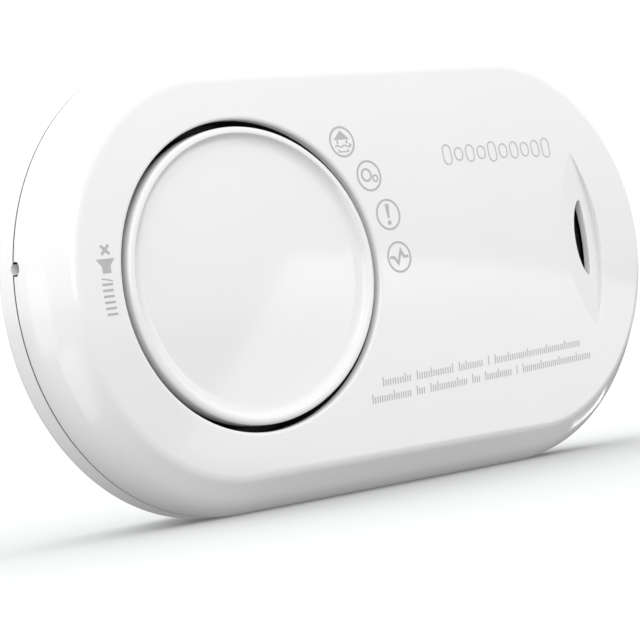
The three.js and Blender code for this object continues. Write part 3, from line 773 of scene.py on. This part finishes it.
def cells():
    """Number 1 lies above with its nub to the right, number 2 below with its nub to the left."""
    start, end, nub, radius = (CELL[key] for key in ("start", "end", "nub", "radius"))
    profile = [(start + 0.2, 0.1), (start + 0.2, 4.6), (start, 4.9), (start, 5.9), (start + 0.15, 6.3),
               (start + 0.15, 6.7), (start + 0.35, radius - 0.05), (start + 0.6, radius),
               (end - 0.9, radius), (end - 0.45, radius - 0.12), (end - 0.15, radius - 0.5),
               (end, radius - 1), (end, 5.1), (end - 0.2, 4.9), (end - 0.2, 3.1), (end - 0.05, 2.8),
               (nub - 0.35, 2.7), (nub - 0.1, 2.5), (nub, 2.2), (nub, 0.1)]
    for i, side in enumerate((1, -1)):
        flipped = [(side * along, r) for along, r in profile]
        obj = turned(f"cell_{i + 1}", (0, CELL["depth"], side * CELL["z"]), flipped, "x", 96)
        smooth(obj, 40)
        wraps = (cell_wrap(f"cell_wrap_{i + 1}", side), nickel)
        hand_over(obj, "case", "cell_wrap", wraps, f"battery_{i + 1}")
        paint(obj, lambda x, depth, z: not start + 0.16 <= side * x <= end - 0.21 and
              math.hypot(depth - CELL["depth"], z - side * CELL["z"]) < 5.2)


def springs():
    length = 4.3
    for i, angle in enumerate(math.radians(a) for a in SPRING_ANGLES):
        x, z = BUTTON_X + SPRING_RING * math.cos(angle), SPRING_RING * math.sin(angle)
        obj = coil(f"return_spring_{i + 1}", (x, 5.0, z), "y", 1, (1.7, 1.7), 0.24, length, 5.5)
        hand_over(obj, "case", "spring_steel", spring_wire, f"button_spring_{i + 1}")
        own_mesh(obj)
    for i, side in enumerate((1, -1)):
        centre = (-side * (CONTACT_X - 0.05), CELL["depth"], side * CELL["z"])
        obj = coil(f"cell_spring_{i + 1}", centre, "x", side, (4.6, 2.4), 0.35, 4.6, 4.5)
        hand_over(obj, "case", "spring_steel", spring_wire, f"battery_spring_{i + 1}")
    start = (-54.3, CATCH_DEPTH, PIN_HOLE["z"])
    obj = coil("catch_return", start, "x", 1, (1.1, 1.1), 0.2, length, 6.5)
    hand_over(obj, "case", "spring_steel", spring_wire, "catch_spring")
    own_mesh(obj)


def screw(name, node, x, z, tip, head, top, shank, crown_radius):
    """A pan-head screw with a crossed recess; the thread is a row of rings."""
    pitch = 0.8
    profile = [(tip, 0.1), (tip + 1.3, shank * 0.75)]
    for start in np.arange(tip + 1.4, head - 1.6, pitch):
        root = shank * 0.8
        profile += [(start, root), (start + 0.3, shank), (start + 0.38, shank), (start + 0.68, root)]
    reach = crown_radius * 0.55
    profile += [(head - 0.4, shank * 0.85), (head, shank), (head, crown_radius - 0.15),
                (head + 0.15, crown_radius), (top - 0.75, crown_radius),
                (top - 0.35, crown_radius * 0.86), (top - 0.1, reach), (top, 0.1)]
    obj = turned(name, (x, 0, z), profile, sides=40)
    for across, up in ((reach, 0.26), (0.26, reach)):
        cross = rounded_box(x - across, x + across, z - up, z + up, 0.1, 2)
        combine(obj, slab("recess", cross, top - 1.1, top + 1))
    smooth(obj, 35)
    hand_over(obj, "case", "screw_steel", zinc, node)


def screws():
    for i, (x, z) in enumerate(CASE_SCREWS):
        screw(f"long_screw_{i + 1}", f"case_screw_{i + 1}", x, z, 7.6, 18.3, 20.3, 1.25, 2.3)
    for i, (x, z) in enumerate(BOARD_SCREWS):
        screw(f"short_screw_{i + 1}", f"board_screw_{i + 1}", x, z, 7.0, 13.0, 14.3, 1.0, 1.9)


# ---------------- parts on the board
BOARD_FRONT = (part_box("circuit_board")[0].y - FACE_Y) / MM
ON_BOARD = BOARD_FRONT - 0.3


def middle_of(node):
    """Middle of a node's box in x and z, in millimetres."""
    low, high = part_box(node)
    return (low.x + high.x) / 2 / MM, 0, ((low.z + high.z) / 2 - MID_Z) / MM


def round_piece(node, name, profile, slot, material, ring=False, sides=72, body="case"):
    obj = turned(name, middle_of(node), profile, sides=sides, ring=ring)
    smooth(obj, 35)
    hand_over(obj, body, slot, material, node)


def sounder():
    cup = [(5.35, 3.0), (5.2, 3.2), (5.2, 14.2), (5.5, 14.6), (9.4, 14.6), (9.4, 19.6), (9.6, 19.8),
           (10.0, 19.8), (10.2, 19.6), (10.2, 14.6), (ON_BOARD, 14.6), (ON_BOARD, 13.4), (9.4, 13.4),
           (9.4, 11), (8.65, 11), (8.65, 13.4), (6.2, 13.4), (6.2, 3.0)]
    obj = turned("sounder_cup", (BUTTON_X, 0, 0), cup, sides=128, ring=True)
    x, half = SWITCH
    notch = rounded_box(x - 8, x + half + 0.4, -half - 0.4, half + 0.4, 0.2, 2)
    combine(obj, slab("notch", notch, 9, 10.5))
    smooth(obj, 35)
    hand_over(obj, "case", "black_plastic", black_plastic, "sounder_housing")
    plate = [(7.95, 0.1), (7.95, 9.9), (7.9, 10.0), (7.9, 12.5), (7.98, 12.6), (8.22, 12.6),
             (8.3, 12.5), (8.3, 0.1)]
    obj = turned("piezo_plate", (BUTTON_X, 0, 0), plate, sides=96)
    smooth(obj, 35)
    hand_over(obj, "case", "brass", (brass, nickel), "piezo_disc")
    paint(obj, lambda x, depth, z: depth < 8.1 and math.hypot(x - BUTTON_X, z) < 9.95)


def board_parts():
    """Round parts, turned finely where the frame has a few flat sides."""
    lamp = [(8.2, 0.1), (8.25, 0.45), (8.45, 0.85), (8.85, 1.22), (9.3, 1.4), (10.1, 1.4), (10.1, 1.6),
            (ON_BOARD, 1.6), (ON_BOARD, 0.1)]
    for node in ("led_alarm", "led_gas", "led_fault", "led_power"):
        round_piece(node, node + "_lens", lamp, "lamp_lens", lamp_resin, sides=40)
    foot = ON_BOARD - 0.5
    can = [(8.1, 0.1), (8.1, 1.2), (8.2, 1.3), (8.2, 5.6), (8.1, 5.8), (8.1, 6.8), (8.25, 7.0),
           (foot, 7.0), (foot, 6.8), (foot + 0.3, 6.8), (foot + 0.3, 7.0), (ON_BOARD, 6.9),
           (ON_BOARD, 0.1)]
    round_piece("sensor_can", "sensor_body", can, "nickel_steel", nickel)
    cap = [(6.8, 1.4), (6.8, 6.6), (6.95, 6.8), (7.65, 6.8), (7.8, 6.6), (7.8, 1.4)]
    round_piece("sensor_cap", "sensor_lid", cap, "black_plastic", black_plastic, ring=True)
    seal = [(5.7, 4.6), (5.7, 6.9), (5.8, 7.0), (6.4, 7.0), (6.5, 6.9), (6.5, 4.6)]
    round_piece("sensor_gasket", "sensor_seal", seal, "foam", foam, ring=True)
    drum = [(5.4, 0.1), (5.4, 2.5), (5.5, 2.85), (5.8, 3.1), (9.4, 3.1), (9.55, 2.9), (9.8, 2.9),
            (9.95, 3.1), (10.6, 3.1), (ON_BOARD, 2.9), (ON_BOARD, 0.1)]
    for i in (1, 2):
        round_piece(f"capacitor_{i}", f"capacitor_drum_{i}", drum, "aluminium", aluminium)
    bobbin = [(5.0, 0.1), (5.0, 3.4), (5.15, 3.6), (5.75, 3.6), (5.9, 3.45), (5.9, 2.7)]
    for depth in np.arange(5.95, 9.8, 0.3):
        bobbin += [(depth, 2.7), (depth + 0.08, 2.85), (depth + 0.22, 2.85)]
    bobbin += [(9.9, 2.7), (9.9, 3.45), (10.05, 3.6), (ON_BOARD - 0.1, 3.6), (ON_BOARD, 3.5),
               (ON_BOARD, 0.1)]
    round_piece("sounder_coil", "coil_drum", bobbin, "ferrite", ferrite)
    stem = [(6.6, 0.1), (6.6, 1.0), (6.75, 1.2), (9.4, 1.2), (9.4, 0.1)]
    round_piece("switch_plunger", "plunger_stem", stem, "black_plastic", black_plastic,
                sides=32, body="plunger")


def finish_frame():
    """Materials and softened edges for the CAD nodes that stay as they are."""
    finishes = (
        (solder_mask, 0.1, "circuit_board"), (gauze, 0.0, "dust_filter"), (epoxy, 0.12, "control_chip"),
        (nylon, 0.2, "battery_connector"), (black_plastic, 0.1, "light_baffle"),
        (black_plastic, 0.15, "switch_base", "release_catch"), (black_plastic, 0.2, "battery_tray"),
        (nickel, 0.08, "spring_plate_1", "spring_plate_2", "contact_tab_1", "contact_tab_2"),
    )
    for material, radius, *names in finishes:
        for obj in (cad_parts[name] for name in names):
            obj.data.materials.clear()
            obj.data.materials.append(material)
            if radius:
                edge = obj.modifiers.new("edges", "BEVEL")
                edge.width, edge.segments = radius * MM, 2
                edge.limit_method, edge.angle_limit = "ANGLE", math.radians(40)


# ---------------- printed and raised marks
PRINT = 0.03                # how far the ink stands out


def hoop(x, z, radius, width):
    return [circle(x, z, radius, 48), circle(x, z, radius - width, 48)]


def stroke(points, width):
    """A line of that width through the points, with square ends and mitred turns."""
    p = np.array(points, float)
    along = np.diff(p, axis=0)
    along /= np.linalg.norm(along, axis=1)[:, None]
    side = np.c_[-along[:, 1], along[:, 0]]
    shift = [side[0]]
    for a, b in zip(side[:-1], side[1:]):
        middle = (a + b) / np.linalg.norm(a + b)
        shift.append(middle / middle.dot(a))
    shift = np.array(shift + [side[-1]]) * width / 2
    return np.vstack([p + shift, (p - shift)[::-1]])


def capsule(x, z, half_width, half_height):
    return rounded_box(x - half_width, x + half_width, z - half_height, z + half_height,
                       min(half_width, half_height) * 0.999, 8)


def turn(loop, angle, x, z):
    c, s = math.cos(angle), math.sin(angle)
    return np.c_[x + loop[:, 0] * c - loop[:, 1] * s, z + loop[:, 0] * s + loop[:, 1] * c]


def raised(name, loops, height, material):
    """Thin closed pieces of those outlines, which stand on the face; an inner loop is a hole."""
    sunk = 0.08
    curve = bpy.data.curves.new(name, "CURVE")
    curve.dimensions, curve.fill_mode, curve.extrude = "2D", "BOTH", 0.5
    for loop in loops:
        spline = curve.splines.new("POLY")
        spline.points.add(len(loop) - 1)
        spline.points.foreach_set("co", np.c_[loop, np.zeros(len(loop)), np.ones(len(loop))].ravel())
        spline.use_cyclic_u = True
    flat = link(name + "_curve", curve)
    source = evaluated(flat)
    points = np.array([v.co for v in source.vertices])
    x, z = points[:, 0], points[:, 1]
    lifted = np.c_[x, crown(x, z) + np.where(points[:, 2] > 0, -height, sunk), z]
    faces = [tuple(f.vertices) for f in source.polygons]
    bpy.data.objects.remove(flat)
    hand_over(build(name, lifted, faces, weld=True), "case", "case_plastic", material)


def pictograms():
    """Four symbols in rings beside the button: leave the house, gas, fault and working."""
    loops = []
    for i, angle in enumerate(math.radians(a) for a in ICON_ANGLES):
        x = BUTTON_X + ICON_RING * math.cos(angle)
        z = ICON_RING * math.sin(angle)

        def here(*points):
            return np.array(points) + (x, z)

        loops += hoop(x, z, 2.4, 0.31)
        if i == 0:
            loops.append(here((-1.5, 0.35), (0, 1.75), (1.5, 0.35)))
            for wall in (x - 0.9, x + 0.9):
                loops.append(rounded_box(wall - 0.13, wall + 0.13, z - 0.3, z + 0.25, 0.03, 2))
            t = np.linspace(-1.5, 1.2, 27)
            loops.append(stroke(np.c_[x + t, z - 0.66 + 0.13 * np.sin(t * 4.6)], 0.22))
            loops.append(here((1.25, -1.0), (1.8, -0.55), (1.25, -0.2)))
            loops.append(stroke(here((-0.9, -1.12), (-0.9, -1.52), (0.9, -1.52), (0.9, -1.12)), 0.2))
        elif i == 1:
            loops += hoop(x - 0.5, z + 0.15, 1.05, 0.32) + hoop(x + 1.15, z - 0.45, 0.6, 0.26)
        elif i == 2:
            loops.append(here((-0.4, 1.6), (0.4, 1.6), (0.17, -0.55), (-0.17, -0.55)))
            loops.append(circle(x, z - 1.25, 0.36, 24))
        else:
            beat = here((-1.85, 0.0), (-1.0, 0.0), (-0.35, -0.95), (0.45, 1.0), (0.95, 0.0), (1.85, 0.0))
            loops.append(stroke(beat, 0.42))
    raised("pictograms", loops, PRINT, ink)


def button_legend():
    """Marks on the left of the button: press here, and sound off."""
    loops = []
    arc, reach = 25.3, 0.85
    on_arc = lambda z: BUTTON_X - math.sqrt(arc * arc - z * z)
    for z in np.linspace(-3.2, 0.95, 6):
        loops.append(rounded_box(on_arc(z) - reach, on_arc(z) + reach, z - 0.17, z + 0.17, 0.12, 4))
    loops.append(stroke([(on_arc(1.6) - reach, 1.8), (on_arc(1.6) + reach, 1.4)], 0.18))
    horn = [(-1.5, 1.1), (1.5, 1.1), (0.68, 0.1), (0.68, -0.9), (-0.68, -0.9), (-0.68, 0.1)]
    loops.append(np.array(horn) + (on_arc(3.4), 3.4))
    arm, thick = 0.9, 0.2
    cross = []
    for quarter in range(4):
        corner = np.array([(arm, -thick), (arm, thick), (thick, thick)])
        cross.append(turn(corner, quarter * math.pi / 2, 0, 0))
    loops.append(turn(np.vstack(cross), math.pi / 4, on_arc(5.75) - 0.25, 5.75))
    raised("button_legend", loops, PRINT, ink)


def caption_marks():
    """Two rows of fine upright ticks, grouped like the words of a caption."""
    loops = []
    rise, gap, low, tall, thin = 0.033, 2, 0.5, 0.95, 0.095
    for left, right, base, words in ((-5.4, 38.5, -18.35, (12, 16, 11, 1, 41)),
                                     (-7.65, 40.9, -20.7, (17, 4, 17, 4, 13, 1, 35))):
        pitch = (right - left) / (sum(words) + gap * (len(words) - 1))
        x = left + pitch / 2
        for w, ticks in enumerate(words):
            for t in range(ticks):
                up = tall if ticks == 1 or t == 0 or (t * 7 + w * 3) % 9 == 0 else low
                middle = base + rise * (x - left) + (up - low) / 2
                loops.append(capsule(x, middle, thin, (up + low) / 2))
                x += pitch
            x += gap * pitch
    raised("caption_marks", loops, 0.02, ink)


def emblem():
    """A plain row of outlined bars of different heights, like a sound trace."""
    loops = []
    start, pitch, z, half_width, line = 14.6, 2.5, 15.05, 0.95, 0.2
    for i, half in enumerate((1.65, 1.1, 1.4, 1.1, 1.65, 1.2, 1.4, 1.2, 1.4, 1.65)):
        x = start + i * pitch
        loops += [capsule(x, z, half_width, half), capsule(x, z, half_width - line, half - line)]
    raised("emblem", loops, 0.05, emblem_ink)


front_cover()
rear_cover()
test_button()
wall_plate()
battery_door()
cells()
springs()
screws()
sounder()
board_parts()
finish_frame()
pictograms()
button_legend()
caption_marks()
emblem()


# ---------------- stage, lights and camera
def stage_floor():
    half = 60.0
    mesh = bpy.data.meshes.new("floor")
    corners = [(-half, -half, 0), (half, -half, 0), (half, half, 0), (-half, half, 0)]
    mesh.from_pydata(corners, [], [(0, 1, 2, 3)])
    floor = link("floor", mesh)
    material, tree, bsdf = shader("floor_paint", (0.515, 0.52, 0.523), 1.0, Specular_IOR_Level=0.0)
    vary(bsdf, "Base Color", noise(tree, 3, 2), (0.51, 0.515, 0.518), (0.52, 0.525, 0.528))
    mesh.materials.append(material)
    floor.visible_diffuse = floor.visible_glossy = floor.visible_shadow = False
    return floor


def aim(light, floor, state):
    """INCLUDE lights the floor alone, where the object still casts its shadow, EXCLUDE all but it."""
    lit = bpy.data.collections.new("lit_by_" + light.name)
    lit.objects.link(floor)
    lit.collection_objects[0].light_linking.link_state = state
    light.light_linking.receiver_collection = lit


def facing(azimuth, elevation, roll=0.0, point=(0, 0, 0), distance=0.0):
    """Matrix of a thing that faces a point from a direction and distance; roll is anticlockwise."""
    az, el, turn_by = (math.radians(v) for v in (azimuth, elevation, roll))
    back = Vector((math.sin(az) * math.cos(el), -math.cos(az) * math.cos(el), math.sin(el)))
    right = Vector((0, 0, 1)).cross(back).normalized()
    up = back.cross(right)
    right, up = (right * math.cos(turn_by) + up * math.sin(turn_by),
                 up * math.cos(turn_by) - right * math.sin(turn_by))
    matrix = Matrix((right, up, back)).transposed().to_4x4()
    matrix.translation = Vector(point) + back * distance
    return matrix


def panel(name, azimuth, elevation, distance, size, radiance, tilt=0.0):
    """A flat light facing the middle of the object, placed by direction; tilt turns it clockwise."""
    data = bpy.data.lights.new(name, "AREA")
    data.shape, data.size, data.size_y = "RECTANGLE", *size
    data.energy = radiance * math.pi * size[0] * size[1]
    light = link(name, data)
    light.matrix_world = facing(azimuth, elevation, -tilt, (0, 0, MID_Z), distance)
    return light


def sun(name, azimuth, elevation, angle, strength):
    """Even light from one direction, spread over that many degrees."""
    data = bpy.data.lights.new(name, "SUN")
    data.energy, data.angle = strength, math.radians(angle)
    light = link(name, data)
    light.matrix_world = facing(azimuth, elevation)
    return light


def camera(position, azimuth, elevation, roll, lens):
    data = bpy.data.cameras.new("camera")
    data.lens = lens
    data.shift_x, data.shift_y = SHIFT
    data.clip_start, data.clip_end = 0.01, 100
    obj = link("camera", data)
    obj.matrix_world = facing(azimuth, elevation, roll, case_to_row(position))
    bpy.context.scene.camera = obj


def studio_world(below, above):
    """A white surround that is dim below the horizon and grows brighter upwards from there."""
    world = bpy.data.worlds.new("studio")
    world.use_nodes = True
    tree = world.node_tree
    background = tree.nodes["Background"]
    stops = [(-3, below), *above]
    top = stops[-1][1]
    heights = [(1 + math.sin(math.radians(elevation))) / 2 for elevation, level in stops]
    greys = [(level / top,) * 3 for elevation, level in stops]
    upward = add_node(tree, "SeparateXYZ", {"Vector": add_node(tree, "TexCoord", {}, "Generated")}, "Z")
    colours = ramp(tree, stretched(tree, upward, (-1.0, 1.0)), zip(heights, greys))
    tree.links.new(colours, background.inputs["Color"])
    background.inputs["Strength"].default_value = top
    bpy.context.scene.world = world


floor = stage_floor()
studio_world(0.25, ((0, 1.0), (8, 1.12), (35, 1.45), (90, 1.0)))
bpy.context.scene.view_settings.view_transform = "Standard"
lamps = [       # azimuth, elevation, distance, size, radiance
    panel("key", -42, 20, 1.3, (0.9, 0.9), 1.9),
    panel("left", -105, -2, 1.0, (0.8, 0.5), 0.95),
    panel("window", -77, -31, 0.9, (0.42, 0.46), 1.5, tilt=-8),
    panel("table", 49, -12, 0.9, (0.62, 0.36), 1.8, tilt=18),
    panel("strip", 104, -24, 0.9, (0.03, 0.3), 3.5, tilt=40),
]
for lamp in lamps:
    aim(lamp, floor, "EXCLUDE")
for lamp in (sun("floor_back", 180, 50, 80, 1.7), sun("floor_left", -100, 40, 60, 0.85),
             sun("floor_right", 95, 40, 60, 0.85)):
    aim(lamp, floor, "INCLUDE")
camera((-239.4, -267.7, -14.7), -39.8, -1.3, -8.5, 134.3)
